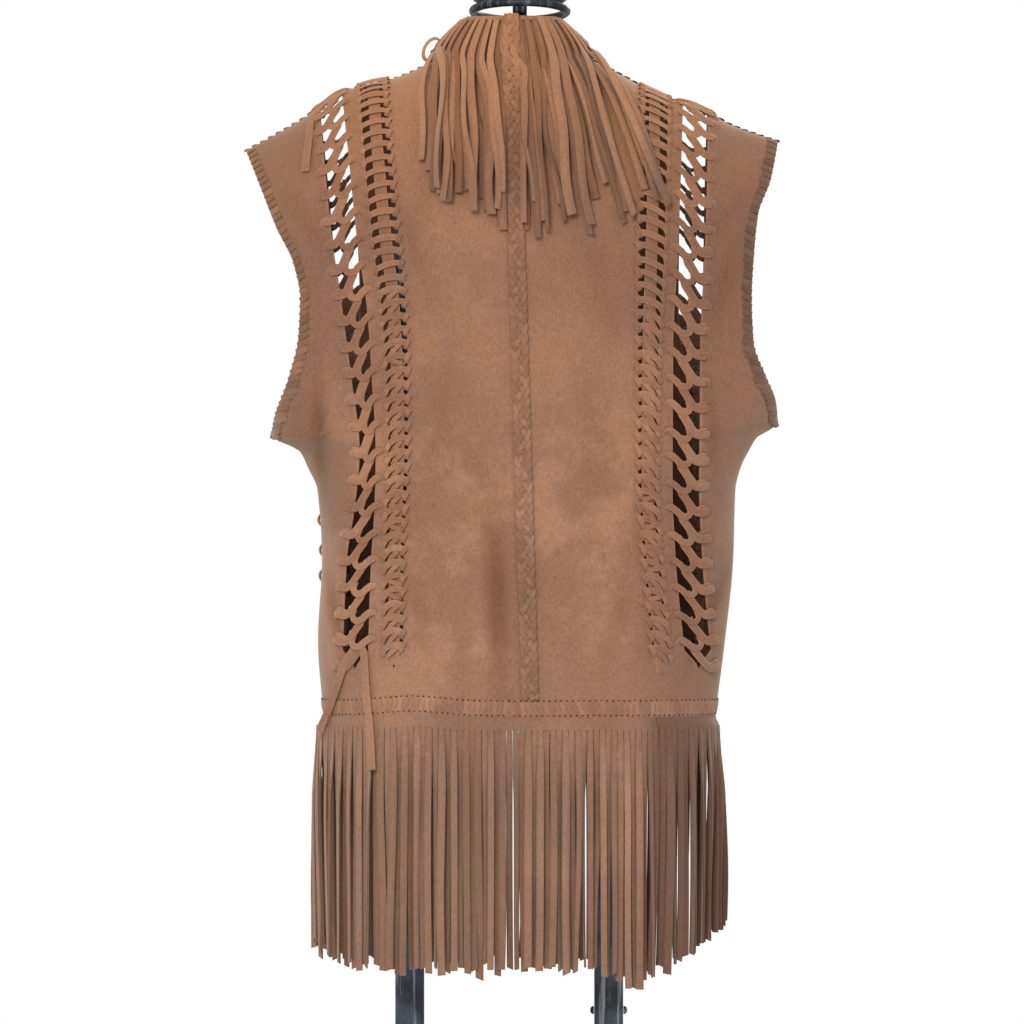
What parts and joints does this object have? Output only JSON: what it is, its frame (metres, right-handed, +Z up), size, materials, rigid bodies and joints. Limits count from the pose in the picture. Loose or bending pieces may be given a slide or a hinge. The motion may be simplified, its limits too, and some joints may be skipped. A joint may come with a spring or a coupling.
{
  "type": "suede vest on an iron stand",
  "caption": "Sleeveless suede vest with a fringed collar, laced openings, a centre back braid and a long hem fringe, resting on a two-post iron stand.",
  "frame": {"origin": "on the floor under the middle of the stand's base plate", "axes": "+Z up, -Y towards the front of the vest, +Y towards its back, +X towards the wearer's right"},
  "size_m": [0.4783, 0.28, 1.2204],
  "materials": {
    "suede": "napped tan suede",
    "lace": "flat suede lace",
    "fringe": "cut suede fringe",
    "iron": "blackened iron"
  },
  "bodies": {
    "root": {"back_centre_right": "suede", "back_strip_right": "suede", "back_side_right": "suede", "front_inner_right": "suede", "front_side_right": "suede", "back_centre_left": "suede", "back_strip_left": "suede", "back_side_left": "suede", "front_inner_left": "suede", "front_side_left": "suede", "collar": "suede", "back_narrow_band_right": "lace", "back_narrow_band_left": "lace", "back_lacing_right": "lace", "back_lacing_left": "lace", "front_lacing_right": "lace", "front_lacing_left": "lace", "back_centre_braid": "lace", "hem_band_back": "lace", "hem_band_front_right": "lace", "hem_band_front_left": "lace", "lace_end_hanging": "lace", "lace_end_slanted": "lace", "lace_end_shoulder": "lace", "hem_fringe_back": "fringe", "hem_fringe_back_left": "fringe", "hem_fringe_front_right": "fringe", "hem_fringe_front_left": "fringe", "collar_fringe_under": "fringe", "collar_fringe_over": "fringe", "base_plate": "iron", "shoulder_bar": "iron", "post_shoe_right": "iron", "post_right": "iron", "post_shoe_left": "iron", "post_left": "iron", "post_rivet_inner": "iron", "post_rivet_outer": "iron", "neck_finial": "iron"}
  },
  "joints": []
}
